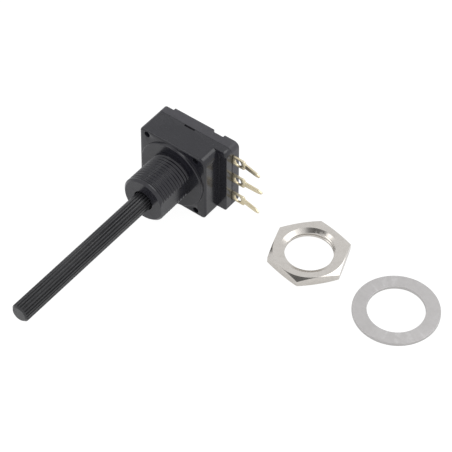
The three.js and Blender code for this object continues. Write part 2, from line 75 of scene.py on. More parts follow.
housingLow, housingHigh = boxOf("front_housing")
coverLow, coverHigh = boxOf("rear_cover")
shaftTipY = boxOf("shaft")[0].y
axisZ = jointPlace("shaft_turn").z
panelY = mountPlace("panel_face").y          # front of the round boss
seamY = coverLow.y                           # where the cover meets the housing
tipY = housingLow.y                          # mouth of the bushing
bodyTop = housingHigh.z
bodyLeft = housingLow.x
bodyRight = -bodyLeft
flangeX = housingHigh.x


camera = {
    "place": (0.17369, -0.21348, 0.29257),
    "right": (0.79294, 0.60929, 0.00323),
    "up": (-0.45254, 0.58538, 0.67271),
    "lens": 160.41, "sensor": 36.0, "nearest": 0.01,
}

lamps = {
    "frontSoftbox": {"place": (-0.30, -0.20, 0.50), "size": 0.20, "power": 0.18},
    "backSoftbox": {"place": (0.14, 0.28, 0.53), "size": 0.34, "power": 0.6},
}
lampTarget = Vector((0.0, 0.0, 0.008))
room = {
    "colour": (0.98, 0.985, 1.0), "bright": 0.94,
    "darkSide": (-0.13, -0.08, 0.985), "dark": 0.14, "darkStart": 0.92, "darkFull": 0.972,
}


def addCamera():
    data = bpy.data.cameras.new("studioCamera")
    data.lens = camera["lens"]
    data.sensor_width = camera["sensor"]
    data.clip_start = camera["nearest"]
    right = Vector(camera["right"]).normalized()
    up = Vector(camera["up"])
    up = (up - right * up.dot(right)).normalized()
    back = right.cross(up)
    turn = Matrix((right, up, back)).transposed().to_4x4()
    eye = bpy.data.objects.new("studioCamera", data)
    eye.matrix_world = Matrix.Translation(camera["place"]) @ turn
    bpy.context.scene.collection.objects.link(eye)
    bpy.context.scene.camera = eye


def addLamp(name, settings):
    data = bpy.data.lights.new(name, "AREA")
    data.shape = "SQUARE"
    data.size = settings["size"]
    data.energy = settings["power"]
    lamp = bpy.data.objects.new(name, data)
    place = Vector(settings["place"])
    lamp.location = place
    lamp.rotation_euler = (lampTarget - place).to_track_quat("-Z", "Y").to_euler()
    bpy.context.scene.collection.objects.link(lamp)


def addWorld():
    world = bpy.data.worlds.new("studioWorld")
    bpy.context.scene.world = world
    world.use_nodes = True
    nodes, links = world.node_tree.nodes, world.node_tree.links
    nodes.clear()
    rays = nodes.new("ShaderNodeLightPath")
    # The room is evenly bright, but for the side above and behind the camera.
    toward = nodes.new("ShaderNodeVectorMath")
    toward.operation = "DOT_PRODUCT"
    toward.inputs[1].default_value = Vector(room["darkSide"]).normalized()
    links.new(nodes.new("ShaderNodeTexCoord").outputs["Generated"], toward.inputs[0])
    fade = nodes.new("ShaderNodeMapRange")
    fade.interpolation_type = "SMOOTHSTEP"
    fade.inputs["From Min"].default_value = room["darkStart"]
    fade.inputs["From Max"].default_value = room["darkFull"]
    fade.inputs["To Min"].default_value = room["bright"]
    fade.inputs["To Max"].default_value = room["dark"]
    links.new(toward.outputs["Value"], fade.inputs["Value"])
    soft = nodes.new("ShaderNodeBackground")
    soft.inputs["Color"].default_value = (*room["colour"], 1.0)
    links.new(fade.outputs[0], soft.inputs["Strength"])
    white = nodes.new("ShaderNodeBackground")
    white.inputs["Color"].default_value = (1.0, 1.0, 1.0, 1.0)
    mix = nodes.new("ShaderNodeMixShader")
    out = nodes.new("ShaderNodeOutputWorld")
    links.new(rays.outputs["Is Camera Ray"], mix.inputs[0])
    links.new(soft.outputs[0], mix.inputs[1])
    links.new(white.outputs[0], mix.inputs[2])
    links.new(mix.outputs[0], out.inputs["Surface"])


addCamera()
for lampName, lampSettings in lamps.items():
    addLamp(lampName, lampSettings)
addWorld()
bpy.context.scene.view_settings.view_transform = "Standard"
print("camera, lamps and world placed")


def newGroup(name, inputs, outputs):
    group = bpy.data.node_groups.new(name, "ShaderNodeTree")
    for label, kind, value in inputs:
        socket = group.interface.new_socket(label, in_out="INPUT", socket_type=kind)
        socket.default_value = value
    for label, kind in outputs:
        group.interface.new_socket(label, in_out="OUTPUT", socket_type=kind)
    entry = group.nodes.new("NodeGroupInput")
    leave = group.nodes.new("NodeGroupOutput")
    return group, entry, leave


def setOrLink(tree, socket, value):
    if isinstance(value, bpy.types.NodeSocket):
        tree.links.new(value, socket)
    else:
        socket.default_value = value


def mathNode(tree, kind, *values, clamp=False):
    node = tree.nodes.new("ShaderNodeMath")
    node.operation = kind
    node.use_clamp = clamp
    for socket, value in zip(node.inputs, values):
        setOrLink(tree, socket, value)
    return node.outputs[0]


def noiseNode(tree, place, scale, detail, rough=0.5):
    node = tree.nodes.new("ShaderNodeTexNoise")
    node.inputs["Detail"].default_value = detail
    node.inputs["Roughness"].default_value = rough
    tree.links.new(place, node.inputs["Vector"])
    setOrLink(tree, node.inputs["Scale"], scale)
    return node.outputs[0]


def rampNode(tree, value, low, high):
    node = tree.nodes.new("ShaderNodeMapRange")
    node.inputs["From Min"].default_value = low
    node.inputs["From Max"].default_value = high
    tree.links.new(value, node.inputs["Value"])
    return node.outputs[0]


def objectPlace(tree):
    return tree.nodes.new("ShaderNodeTexCoord").outputs["Object"]


# The pairs are the values between which a noise, or an edge's sharpness, runs from 0 to 1.
pattern = {
    "grainDetail": 3.0, "grainRough": 0.6, "flow": (0.3, 0.7), "flowDetail": 2.0,
    "specks": (0.68, 0.76), "patches": (0.42, 0.62), "patchScale": 420.0, "dustDetail": 1.0,
    "rub": (0.505, 0.56), "broken": (0.3, 0.65), "brokenScale": 1400.0, "brokenDetail": 3.0,
    "blotch": (0.3, 0.7), "blotchScale": 380.0, "blotchDetail": 3.0, "lineDetail": 2.0,
}


def makeMouldGrain():
    # Fine spark-eroded grain, with slow cloudy changes from the flow of the plastic.
    group, entry, leave = newGroup(
        "mouldGrain",
        [("Grain Scale", "NodeSocketFloat", 9000.0), ("Flow Scale", "NodeSocketFloat", 260.0)],
        [("Grain", "NodeSocketFloat"), ("Flow", "NodeSocketFloat")],
    )
    place = objectPlace(group)
    fine = noiseNode(group, place, entry.outputs["Grain Scale"], pattern["grainDetail"],
                     pattern["grainRough"])
    flow = noiseNode(group, place, entry.outputs["Flow Scale"], pattern["flowDetail"])
    group.links.new(fine, leave.inputs["Grain"])
    group.links.new(rampNode(group, flow, *pattern["flow"]), leave.inputs["Flow"])
    return group


def makeDust():
    # Sparse specks and short scuffs, as a mask.
    group, entry, leave = newGroup(
        "dust",
        [("Scale", "NodeSocketFloat", 2200.0), ("Amount", "NodeSocketFloat", 0.5)],
        [("Mask", "NodeSocketFloat")],
    )
    place = objectPlace(group)
    specks = noiseNode(group, place, entry.outputs["Scale"], pattern["dustDetail"])
    patches = noiseNode(group, place, pattern["patchScale"], pattern["dustDetail"])
    sharp = rampNode(group, specks, *pattern["specks"])
    spread = mathNode(group, "MULTIPLY", sharp, rampNode(group, patches, *pattern["patches"]))
    mask = mathNode(group, "MULTIPLY", spread, entry.outputs["Amount"], clamp=True)
    group.links.new(mask, leave.inputs["Mask"])
    return group


def makeEdgeWear():
    # Brighter where an edge has been rubbed, broken up by a noise.
    group, entry, leave = newGroup(
        "edgeWear",
        [("Amount", "NodeSocketFloat", 0.5)],
        [("Mask", "NodeSocketFloat")],
    )
    geometry = group.nodes.new("ShaderNodeNewGeometry")
    rub = rampNode(group, geometry.outputs["Pointiness"], *pattern["rub"])
    broken = noiseNode(group, objectPlace(group), pattern["brokenScale"], pattern["brokenDetail"])
    mask = mathNode(group, "MULTIPLY", rub, rampNode(group, broken, *pattern["broken"]))
    mask = mathNode(group, "MULTIPLY", mask, entry.outputs["Amount"], clamp=True)
    group.links.new(mask, leave.inputs["Mask"])
    return group


def makeToolMarks():
    # Fine circular lines around an upright centre, as a lathe or a polishing disc leaves them.
    group, entry, leave = newGroup(
        "toolMarks",
        [
            ("Centre", "NodeSocketVector", (0.0, 0.0, 0.0)),
            ("Lines", "NodeSocketFloat", 5200.0),
        ],
        [("Lines", "NodeSocketFloat"), ("Blotch", "NodeSocketFloat")],
    )
    place = objectPlace(group)
    offset = group.nodes.new("ShaderNodeVectorMath")
    offset.operation = "SUBTRACT"
    group.links.new(place, offset.inputs[0])
    group.links.new(entry.outputs["Centre"], offset.inputs[1])
    flat = group.nodes.new("ShaderNodeVectorMath")          # drops the height, so lines are rings
    flat.operation = "MULTIPLY"
    flat.inputs[1].default_value = (1.0, 1.0, 0.0)
    group.links.new(offset.outputs[0], flat.inputs[0])
    radius = group.nodes.new("ShaderNodeVectorMath")
    radius.operation = "LENGTH"
    group.links.new(flat.outputs[0], radius.inputs[0])
    lines = group.nodes.new("ShaderNodeTexNoise")
    lines.noise_dimensions = "1D"
    lines.inputs["Detail"].default_value = pattern["lineDetail"]
    group.links.new(radius.outputs["Value"], lines.inputs["W"])
    group.links.new(entry.outputs["Lines"], lines.inputs["Scale"])
    blotch = noiseNode(group, place, pattern["blotchScale"], pattern["blotchDetail"])
    group.links.new(lines.outputs[0], leave.inputs["Lines"])
    group.links.new(rampNode(group, blotch, *pattern["blotch"]), leave.inputs["Blotch"])
    return group


groups = {
    "grain": makeMouldGrain(),
    "dust": makeDust(),
    "wear": makeEdgeWear(),
    "marks": makeToolMarks(),
}


def newMaterial(name):
    material = bpy.data.materials.new(name)
    material.use_nodes = True
    return material, material.node_tree, material.node_tree.nodes["Principled BSDF"]


def placeGroup(tree, key, values):
    node = tree.nodes.new("ShaderNodeGroup")
    node.node_tree = groups[key]
    for label, value in values.items():
        node.inputs[label].default_value = value
    return node


def grainValues(look):
    return {"Grain Scale": look["grainScale"], "Flow Scale": look["flowScale"]}


def mixColour(tree, share, first, second):
    node = tree.nodes.new("ShaderNodeMix")
    node.data_type = "RGBA"
    tree.links.new(share, node.inputs[0])
    for socket, value in zip(node.inputs[6:8], (first, second)):       # the colour sockets, A and B
        setOrLink(tree, socket, (*value, 1.0) if isinstance(value, tuple) else value)
    return node.outputs[2]


def spreadRoughness(tree, shader, value, look):
    # The roughness swings about its middle value by half its spread.
    lowest = look["rough"] - look["roughSpread"] / 2
    rough = mathNode(tree, "MULTIPLY_ADD", value, look["roughSpread"], lowest)
    tree.links.new(rough, shader.inputs["Roughness"])


def addBump(tree, shader, height, strength, distance):
    bump = tree.nodes.new("ShaderNodeBump")
    bump.inputs["Strength"].default_value = strength
    bump.inputs["Distance"].default_value = distance
    tree.links.new(height, bump.inputs["Height"])
    tree.links.new(bump.outputs[0], shader.inputs["Normal"])


bumpHeight = {"plastic": 0.00002, "metal": 0.00001, "board": 0.00002}          # in metres


def mouldedPlastic(name, look):
    # Moulded plastic: cloudy colour, fine grain, rubbed edges and a little dust.
    material, tree, shader = newMaterial(name)
    grain = placeGroup(tree, "grain", grainValues(look))
    wear = placeGroup(tree, "wear", {"Amount": look["wear"]})
    dust = placeGroup(tree, "dust", {"Amount": look["dust"]})
    colour = mixColour(tree, grain.outputs["Flow"], look["dark"], look["light"])
    colour = mixColour(tree, wear.outputs["Mask"], colour, look["worn"])
    colour = mixColour(tree, dust.outputs["Mask"], colour, look["dusty"])
    tree.links.new(colour, shader.inputs["Base Color"])
    spreadRoughness(tree, shader, grain.outputs["Grain"], look)
    shader.inputs["Specular IOR Level"].default_value = look["gloss"]
    addBump(tree, shader, grain.outputs["Grain"], look["bump"], bumpHeight["plastic"])
    return material


plasticLooks = {
    "housingPlastic": {
        "dark": (0.0115, 0.0113, 0.0155), "light": (0.0155, 0.0152, 0.0200),
        "worn": (0.055, 0.055, 0.062), "dusty": (0.12, 0.12, 0.12),
        "grainScale": 9000.0, "flowScale": 240.0, "wear": 0.3, "dust": 0.3,
        "rough": 0.19, "roughSpread": 0.06, "gloss": 0.50, "bump": 0.04,
    },
    "coverPlastic": {
        "dark": (0.034, 0.033, 0.039), "light": (0.044, 0.042, 0.050),
        "worn": (0.08, 0.08, 0.09), "dusty": (0.15, 0.15, 0.16),
        "grainScale": 5200.0, "flowScale": 320.0, "wear": 0.3, "dust": 0.4,
        "rough": 0.46, "roughSpread": 0.16, "gloss": 0.55, "bump": 0.55,
    },
    "shaftPlastic": {
        "dark": (0.0095, 0.0095, 0.0115), "light": (0.0135, 0.0135, 0.0155),
        "worn": (0.06, 0.06, 0.063), "dusty": (0.14, 0.14, 0.14),
        "grainScale": 11000.0, "flowScale": 180.0, "wear": 0.3, "dust": 0.35,
        "rough": 0.27, "roughSpread": 0.10, "gloss": 0.58, "bump": 0.06,
    },
    "innerPlastic": {
        "dark": (0.60, 0.55, 0.44), "light": (0.68, 0.64, 0.53),
        "worn": (0.78, 0.75, 0.66), "dusty": (0.45, 0.42, 0.36),
        "grainScale": 8000.0, "flowScale": 300.0, "wear": 0.4, "dust": 0.5,
        "rough": 0.45, "roughSpread": 0.12, "gloss": 0.45, "bump": 0.25,
    },
    "sealRubber": {
        "dark": (0.012, 0.012, 0.012), "light": (0.020, 0.020, 0.020),
        "worn": (0.045, 0.045, 0.045), "dusty": (0.12, 0.12, 0.12),
        "grainScale": 12000.0, "flowScale": 500.0, "wear": 0.3, "dust": 0.6,
        "rough": 0.72, "roughSpread": 0.15, "gloss": 0.25, "bump": 0.4,
    },
}


def platedMetal(name, look, centre):
    # Bright metal: lines from the tool, slow blotches, rubbed edges.
    material, tree, shader = newMaterial(name)
    marks = placeGroup(tree, "marks", {"Centre": centre, "Lines": look["lines"]})
    grain = placeGroup(tree, "grain", grainValues(look))
    wear = placeGroup(tree, "wear", {"Amount": look["wear"]})
    colour = mixColour(tree, marks.outputs["Blotch"], look["dark"], look["light"])
    colour = mixColour(tree, wear.outputs["Mask"], colour, look["worn"])
    tree.links.new(colour, shader.inputs["Base Color"])
    streak = mathNode(tree, "MULTIPLY", marks.outputs["Lines"], look["lineShare"])
    speck = mathNode(tree, "MULTIPLY", grain.outputs["Grain"], 1.0 - look["lineShare"])
    height = mathNode(tree, "ADD", streak, speck)
    spreadRoughness(tree, shader, height, look)
    shader.inputs["Metallic"].default_value = 1.0
    addBump(tree, shader, height, look["bump"], bumpHeight["metal"])
    return material


metalLooks = {
    "nutNickel": {
        "dark": (0.57, 0.54, 0.50), "light": (0.61, 0.58, 0.54), "worn": (0.72, 0.69, 0.65),
        "lines": 5200.0, "lineShare": 0.7, "grainScale": 9000.0, "flowScale": 400.0,
        "rough": 0.18, "roughSpread": 0.08, "wear": 0.35, "bump": 0.15,
    },
    "washerSteel": {
        "dark": (0.478, 0.464, 0.456), "light": (0.503, 0.489, 0.481),
        "worn": (0.67, 0.66, 0.655),
        "lines": 3000.0, "lineShare": 0.15, "grainScale": 4200.0, "flowScale": 900.0,
        "rough": 0.40, "roughSpread": 0.22, "wear": 0.4, "bump": 0.5,
    },
    "terminalGold": {
        "dark": (0.64, 0.54, 0.34), "light": (0.76, 0.68, 0.48), "worn": (0.88, 0.84, 0.70),
        "lines": 900.0, "lineShare": 0.2, "grainScale": 6500.0, "flowScale": 700.0,
        "rough": 0.28, "roughSpread": 0.14, "wear": 0.5, "bump": 0.2,
    },
    "springSteel": {
        "dark": (0.50, 0.50, 0.52), "light": (0.60, 0.60, 0.62), "worn": (0.75, 0.75, 0.77),
        "lines": 7000.0, "lineShare": 0.6, "grainScale": 9000.0, "flowScale": 900.0,
        "rough": 0.30, "roughSpread": 0.12, "wear": 0.3, "bump": 0.2,
    },
    "contactBronze": {
        "dark": (0.62, 0.36, 0.20), "light": (0.72, 0.46, 0.28), "worn": (0.82, 0.60, 0.42),
        "lines": 6000.0, "lineShare": 0.5, "grainScale": 9000.0, "flowScale": 700.0,
        "rough": 0.32, "roughSpread": 0.14, "wear": 0.4, "bump": 0.25,
    },
}


boardLook = {
    "dark": (0.11, 0.058, 0.024), "light": (0.20, 0.115, 0.052), "dusty": (0.32, 0.24, 0.15),
    "grainScale": 3000.0, "flowScale": 900.0, "dust": 0.5,
    "fibreScale": 1800.0, "fibreDetail": 4.0, "fibreRough": 0.7, "fibreEnds": (0.35, 0.65),
    "squeeze": (1.0, 1.0, 6.0), "rough": 0.5, "bump": 0.3,
}


def phenolicBoard(name):
    # Pressed paper and resin: brown, with short fibres.
    look = boardLook
    material, tree, shader = newMaterial(name)
    grain = placeGroup(tree, "grain", grainValues(look))
    dust = placeGroup(tree, "dust", {"Amount": look["dust"]})
    stretch = tree.nodes.new("ShaderNodeMapping")
    stretch.inputs["Scale"].default_value = look["squeeze"]
    tree.links.new(objectPlace(tree), stretch.inputs["Vector"])
    fibres = noiseNode(tree, stretch.outputs[0], look["fibreScale"], look["fibreDetail"],
                       look["fibreRough"])
    share = rampNode(tree, fibres, *look["fibreEnds"])
    colour = mixColour(tree, share, look["dark"], look["light"])
    colour = mixColour(tree, dust.outputs["Mask"], colour, look["dusty"])
    tree.links.new(colour, shader.inputs["Base Color"])
    shader.inputs["Roughness"].default_value = look["rough"]
    height = mathNode(tree, "ADD", fibres, grain.outputs["Grain"])
    addBump(tree, shader, height, look["bump"], bumpHeight["board"])
    return material


nutLow, nutHigh = boxOf("mounting_nut")
washerLow, washerHigh = boxOf("mounting_washer")
nutCentre = (nutLow + nutHigh) / 2
washerCentre = (washerLow + washerHigh) / 2

materials = {name: mouldedPlastic(name, look) for name, look in plasticLooks.items()}
# Where the circular tool marks are centred. Those on the terminals are so far off that they run
# nearly straight.
markCentres = {
    "nutNickel": tuple(nutCentre / perMetre),
    "washerSteel": tuple(washerCentre / perMetre),
    "terminalGold": (0.2, 0.3, 0.0),
}
for metalName, metalLook in metalLooks.items():
    centre = markCentres.get(metalName, (0.0, 0.0, 0.0))
    materials[metalName] = platedMetal(metalName, metalLook, centre)
materials["phenolicBoard"] = phenolicBoard("phenolicBoard")
print("materials made:", len(materials))


def looseObject(bm, name):
    bmesh.ops.remove_doubles(bm, verts=bm.verts, dist=fineGap)
    bmesh.ops.recalc_face_normals(bm, faces=bm.faces)
    mesh = bpy.data.meshes.new(name)
    bm.to_mesh(mesh)
    bm.free()
    obj = bpy.data.objects.new(name, mesh)
    bpy.context.scene.collection.objects.link(obj)
    return obj


def bakeModifiers(obj):
    graph = bpy.context.evaluated_depsgraph_get()
    mesh = bpy.data.meshes.new_from_object(obj.evaluated_get(graph))
    spent = obj.data
    obj.modifiers.clear()
    obj.data = mesh
    bpy.data.meshes.remove(spent)


def combine(obj, tool, operation):
    # Joins or cuts obj with the tool, which is used up.
    step = obj.modifiers.new("combine", "BOOLEAN")
    step.operation = operation
    step.solver = "EXACT"
    step.object = tool
    bakeModifiers(obj)
    bpy.data.objects.remove(tool)
    tidyFaces(obj)


def tidyFaces(obj):
    bm = bmesh.new()
    bm.from_mesh(obj.data)
    bmesh.ops.remove_doubles(bm, verts=bm.verts, dist=meshGap)
    bmesh.ops.dissolve_degenerate(bm, edges=bm.edges, dist=meshGap)
    bmesh.ops.dissolve_limit(bm, angle_limit=radians(flatAngle), verts=bm.verts, edges=bm.edges)
    bm.to_mesh(obj.data)
    bm.free()


def softenEdges(obj, width, segments=2, angle=40.0):
    step = obj.modifiers.new("soften", "BEVEL")
    step.width = width
    step.segments = segments
    step.limit_method = "ANGLE"
    step.angle_limit = radians(angle)
    step.use_clamp_overlap = False
    step.miter_outer = "MITER_ARC"
    bakeModifiers(obj)


def finishPiece(obj, name, material, body, nodes, sharp=35.0):
    bm = bmesh.new()
    bm.from_mesh(obj.data)
    bmesh.ops.triangulate(bm, faces=[f for f in bm.faces if len(f.verts) > 4])
    for face in bm.faces:
        face.smooth = True
    for edge in bm.edges:
        edge.smooth = not edge.is_manifold or edge.calc_face_angle() < radians(sharp)
    bm.to_mesh(obj.data)
    bm.free()
    obj.data.transform(Matrix.Scale(1.0 / perMetre, 4))
    even = obj.modifiers.new("even", "WEIGHTED_NORMAL")       # broad faces stay flat to their edges
    even.keep_sharp = True
    bakeModifiers(obj)
    obj.name = name
    obj.data.name = name
    obj.data.materials.clear()
    obj.data.materials.append(materials[material])
    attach(obj, body)
    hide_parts(*nodes)
    print("piece", name, len(obj.data.polygons), "faces")
    return obj


def outlinePrism(corners, y0, y1, name, steps=8):
    # corners: (x, z, radius), anticlockwise from the front's lower left.
    bm = bmesh.new()
    points = [bm.verts.new((x, y0, z)) for x, z, _ in corners]
    bm.faces.new(points)
    for vert, (_, _, radius) in zip(points, corners):
        if radius > 0:
            bmesh.ops.bevel(bm, geom=[vert], offset=radius, offset_type="OFFSET", segments=steps,
                            profile=0.5, affect="VERTICES", material=-1)
    rise = bmesh.ops.extrude_face_region(bm, geom=bm.faces[:])
    moved = [v for v in rise["geom"] if isinstance(v, bmesh.types.BMVert)]
    bmesh.ops.translate(bm, verts=moved, vec=(0.0, y1 - y0, 0.0))
    return looseObject(bm, name)


def boxTool(x0, x1, y0, y1, z0, z1):
    bm = bmesh.new()
    bmesh.ops.create_cube(bm, size=1.0)
    bmesh.ops.scale(bm, vec=(x1 - x0, y1 - y0, z1 - z0), verts=bm.verts)
    bmesh.ops.translate(bm, vec=((x0 + x1) / 2, (y0 + y1) / 2, (z0 + z1) / 2), verts=bm.verts)
    return looseObject(bm, "boxTool")


def trimEnd(bm, place, outward):
    # Cuts a mesh off square at a plane, and closes the cut.
    place, outward = Vector(place), Vector(outward)
    bmesh.ops.bisect_plane(bm, geom=bm.verts[:] + bm.edges[:] + bm.faces[:], dist=fineGap,
                           plane_co=place, plane_no=outward, clear_outer=True)
    rim = [e for e in bm.edges if e.is_boundary
           and all(abs((v.co - place).dot(outward)) < onPlane for v in e.verts)]
    bmesh.ops.holes_fill(bm, edges=rim, sides=0)


def drawLine(bm, points):
    line = [bm.verts.new(point) for point in points]
    for first, second in zip(line, line[1:]):
        bm.edges.new((first, second))


def turnedAt(profile, x, z, name, steps=96):
    # profile: (radius, y) pairs, from the axis along Y and back to it.
    bm = bmesh.new()
    drawLine(bm, [(x + radius, y, z) for radius, y in profile])
    bmesh.ops.spin(bm, geom=bm.verts[:] + bm.edges[:], cent=(x, 0.0, z), axis=(0.0, 1.0, 0.0),
                   angle=2 * pi, steps=steps, use_merge=True)
    return looseObject(bm, name)


def rodAt(x, z, radius, y0, y1, steps=48):
    return turnedAt([(0.0, y0), (radius, y0), (radius, y1), (0.0, y1)], x, z, "rodTool", steps)


housing = {
    "longEdge": 0.85, "topRight": 1.7, "lowRight": 1.0,
    "flangeDepth": 1.7, "flangeTop": 1.2, "flangeFoot": 0.5,
    "bossHeight": 0.6, "bossRadius": 7.5, "bossEdge": 0.12,
    "holeRadius": 0.64, "holeSteps": 32,
    "latchWidth": 2.5, "latchOffset": -0.28, "latchDepth": 0.4, "latchDrop": 0.6,
    "edge": 0.08, "frontEdge": 0.45, "frontSteps": 5,
}
frontY = panelY + housing["bossHeight"]

# The room left around the moving pieces, and how far the ball's pocket enters the wheel's room.
inner = {
    "wheelRoom": 0.3, "carrierRoom": 0.3, "boreRoom": 0.06, "pocketRoom": 0.05,
    "pocketEnd": 0.5, "reach": 2.0, "steps": 64,
}
wheelLow, wheelHigh = boxOf("detent_wheel")
carrierLow, carrierHigh = boxOf("contact_carrier")
ballLow, ballHigh = boxOf("detent_ball")
springFoot = boxOf("detent_spring")[0].z
thrustY = boxOf("thrust_washer")[0].y
pins = [boxOf(f"assembly_pin_{i + 1}") for i in range(4)]


def bodyCorners(x1, topRight, lowRight):
    edge = housing["longEdge"]
    return [(bodyLeft, 0.0, edge), (x1, 0.0, lowRight),
            (x1, bodyTop, topRight), (bodyLeft, bodyTop, edge)]


def flangeCorners():
    return bodyCorners(flangeX, housing["flangeTop"], housing["flangeFoot"])


def cutInnerRooms(obj):
    # The rooms for the wheel, the carrier and the ball with its spring.
    wheelRadius = (wheelHigh.x - wheelLow.x) / 2 + inner["wheelRoom"]
    carrierRadius = (carrierHigh.x - carrierLow.x) / 2 + inner["carrierRoom"]
    stepY = carrierLow.y - inner["boreRoom"]
    openY = seamY + inner["reach"]
    rooms = [(0.0, thrustY), (wheelRadius, thrustY), (wheelRadius, stepY)]
    rooms += [(carrierRadius, stepY), (carrierRadius, openY), (0.0, openY)]
    combine(obj, turnedAt(rooms, 0.0, axisZ, "roomTool", inner["steps"]), "DIFFERENCE")
    gap = inner["pocketRoom"]
    pocket = boxTool(ballLow.x - gap, ballHigh.x + gap, ballLow.y - gap, openY,
                     springFoot - gap, axisZ - wheelRadius * inner["pocketEnd"])
    combine(obj, pocket, "DIFFERENCE")


def roundFront(obj):
    # Rounds the front face's rim, but not along the foot.
    foot = housing["lowRight"] - onPlane
    bm = bmesh.new()
    bm.from_mesh(obj.data)
    rim = [e for e in bm.edges if all(abs(v.co.y - frontY) < onPlane for v in e.verts)]
    rim = [e for e in rim if max(v.co.z for v in e.verts) > foot]
    bmesh.ops.bevel(bm, geom=rim, offset=housing["frontEdge"], offset_type="OFFSET",
                    segments=housing["frontSteps"], profile=0.5, affect="EDGES", material=-1)
    bm.to_mesh(obj.data)
    bm.free()


def housingBlock():
    block = outlinePrism(bodyCorners(bodyRight, housing["topRight"], housing["lowRight"]),
                         frontY, seamY, "block")
    roundFront(block)
    flange = outlinePrism(flangeCorners(), seamY - housing["flangeDepth"], seamY, "flange")
    combine(block, flange, "UNION")
    radius, edge = housing["bossRadius"], housing["bossEdge"]
    boss = [(0.0, panelY), (radius - edge, panelY), (radius, panelY + edge)]
    boss += [(radius, frontY + sunk), (0.0, frontY + sunk)]
    combine(block, turnedAt(boss, 0.0, axisZ, "bossTool"), "UNION")
    latchX = housing["latchOffset"]
    half = housing["latchWidth"] / 2
    latch = boxTool(latchX - half, latchX + half, seamY - housing["latchDepth"], seamY + pastFace,
                    bodyTop - housing["latchDrop"], bodyTop + pastFace)
    combine(block, latch, "DIFFERENCE")
    for low, high in pins:
        x, z = (low.x + high.x) / 2, (low.z + high.z) / 2
        hole = rodAt(x, z, housing["holeRadius"], frontY - pastFace, seamY + pastFace,
                     housing["holeSteps"])
        combine(block, hole, "DIFFERENCE")
    cutInnerRooms(block)
    bore = rodAt(0.0, axisZ, bushing["innerRadius"], panelY - pastFace, thrustY + sunk,
                 inner["steps"])
    combine(block, bore, "DIFFERENCE")
    softenEdges(block, housing["edge"])
    return finishPiece(block, "housing_block", "housingPlastic", "case",
                       ["front_housing"])


bushing = {
    "crestRadius": 4.95, "threadDepth": 0.26, "pitch": 0.75, "samples": 16, "steps": 96,
    "lead": 0.5, "chamfer": 0.45, "flat": 4.45, "land": 0.12,
    "mouthRadius": 2.12, "mouthDepth": 0.5, "mouthChamfer": 0.1, "innerRadius": 2.01,
    "mouthSlope": 0.3, "rootInside": 1.0, "landDrop": 0.05, "sharp": 27.0,
}


def waveAt(i, samples):
    # One smooth wave to a pitch: 0 at its ends, 1 half way.
    return 0.5 - 0.5 * cos(2 * pi * i / samples)


def threadRod():
    # One turned wave of ridges that climbs a pitch in a turn, cut off square at both ends.
    y0 = tipY + bushing["lead"]
    y1 = panelY + bushing["rootInside"] - lap
    pitch, samples, steps = bushing["pitch"], bushing["samples"], bushing["steps"]
    spare = 2                                    # pitches past each end, which are cut off
    count = int((y1 - y0) / pitch) + 2 * spare
    points = []
    for i in range(count * samples + 1):
        radius = bushing["crestRadius"] - bushing["threadDepth"] * waveAt(i, samples)
        points.append((radius, y0 - spare * pitch + i * pitch / samples, axisZ))
    bm = bmesh.new()
    drawLine(bm, points)
    bmesh.ops.spin(bm, geom=bm.verts[:] + bm.edges[:], cent=(0.0, 0.0, axisZ), axis=(0.0, 1.0, 0.0),
                   dvec=(0.0, pitch / steps, 0.0), angle=2 * pi, steps=steps)
    bmesh.ops.remove_doubles(bm, verts=bm.verts, dist=meshGap)
    for y, outward in ((y0, -1.0), (y1, 1.0)):
        trimEnd(bm, (0.0, y, 0.0), (0.0, outward, 0.0))
    return looseObject(bm, "threadRod")


def bushingSleeve():
    sleeve = threadRod()
    crest, chamfer = bushing["crestRadius"], bushing["chamfer"]
    leadEnd = tipY + bushing["lead"] + lap
    lead = [(0.0, tipY), (crest - chamfer, tipY), (crest, tipY + chamfer)]
    lead += [(crest, leadEnd), (0.0, leadEnd)]
    combine(sleeve, turnedAt(lead, 0.0, axisZ, "leadTool"), "UNION")
    landStart, landEnd = panelY - bushing["land"], panelY + bushing["rootInside"]
    landRadius = crest - bushing["landDrop"]
    land = [(0.0, landStart), (landRadius, landStart), (landRadius, landEnd), (0.0, landEnd)]
    combine(sleeve, turnedAt(land, 0.0, axisZ, "landTool"), "UNION")
    far = crest + pastFace
    outY, backY = tipY - pastFace, landEnd + pastFace
    flat = boxTool(bushing["flat"], far, outY, backY, axisZ - far, axisZ + far)
    combine(sleeve, flat, "DIFFERENCE")
    mouth, bore, deep = bushing["mouthRadius"], bushing["innerRadius"], tipY + bushing["mouthDepth"]
    rim = bushing["mouthChamfer"]
    hollow = [(0.0, outY), (mouth + rim + pastFace, outY), (mouth + rim, tipY), (mouth, tipY + rim)]
    hollow += [(mouth, deep), (bore, deep + bushing["mouthSlope"]), (bore, backY), (0.0, backY)]
    combine(sleeve, turnedAt(hollow, 0.0, axisZ, "mouthTool"), "DIFFERENCE")
    return finishPiece(sleeve, "bushing_thread", "housingPlastic", "case",
                       ["front_housing"], bushing["sharp"])


cover = {
    "padDepth": 0.55, "padInset": 2.3, "notchWidth": 2.5, "notchInset": 3.55,
    "edge": 0.13, "bayDepth": 1.2, "bayHeight": 2.36, "bayGap": 0.08,
    "slitHeight": 1.2, "slitReach": 0.5, "slitDepth": 0.5,
    "grooveDepth": 0.4, "grooveWidth": 0.14, "grooveRise": 1.0,
    "roomGap": 0.05, "roomEdge": 1.2, "holeRadius": 0.6, "holeSteps": 24,
}


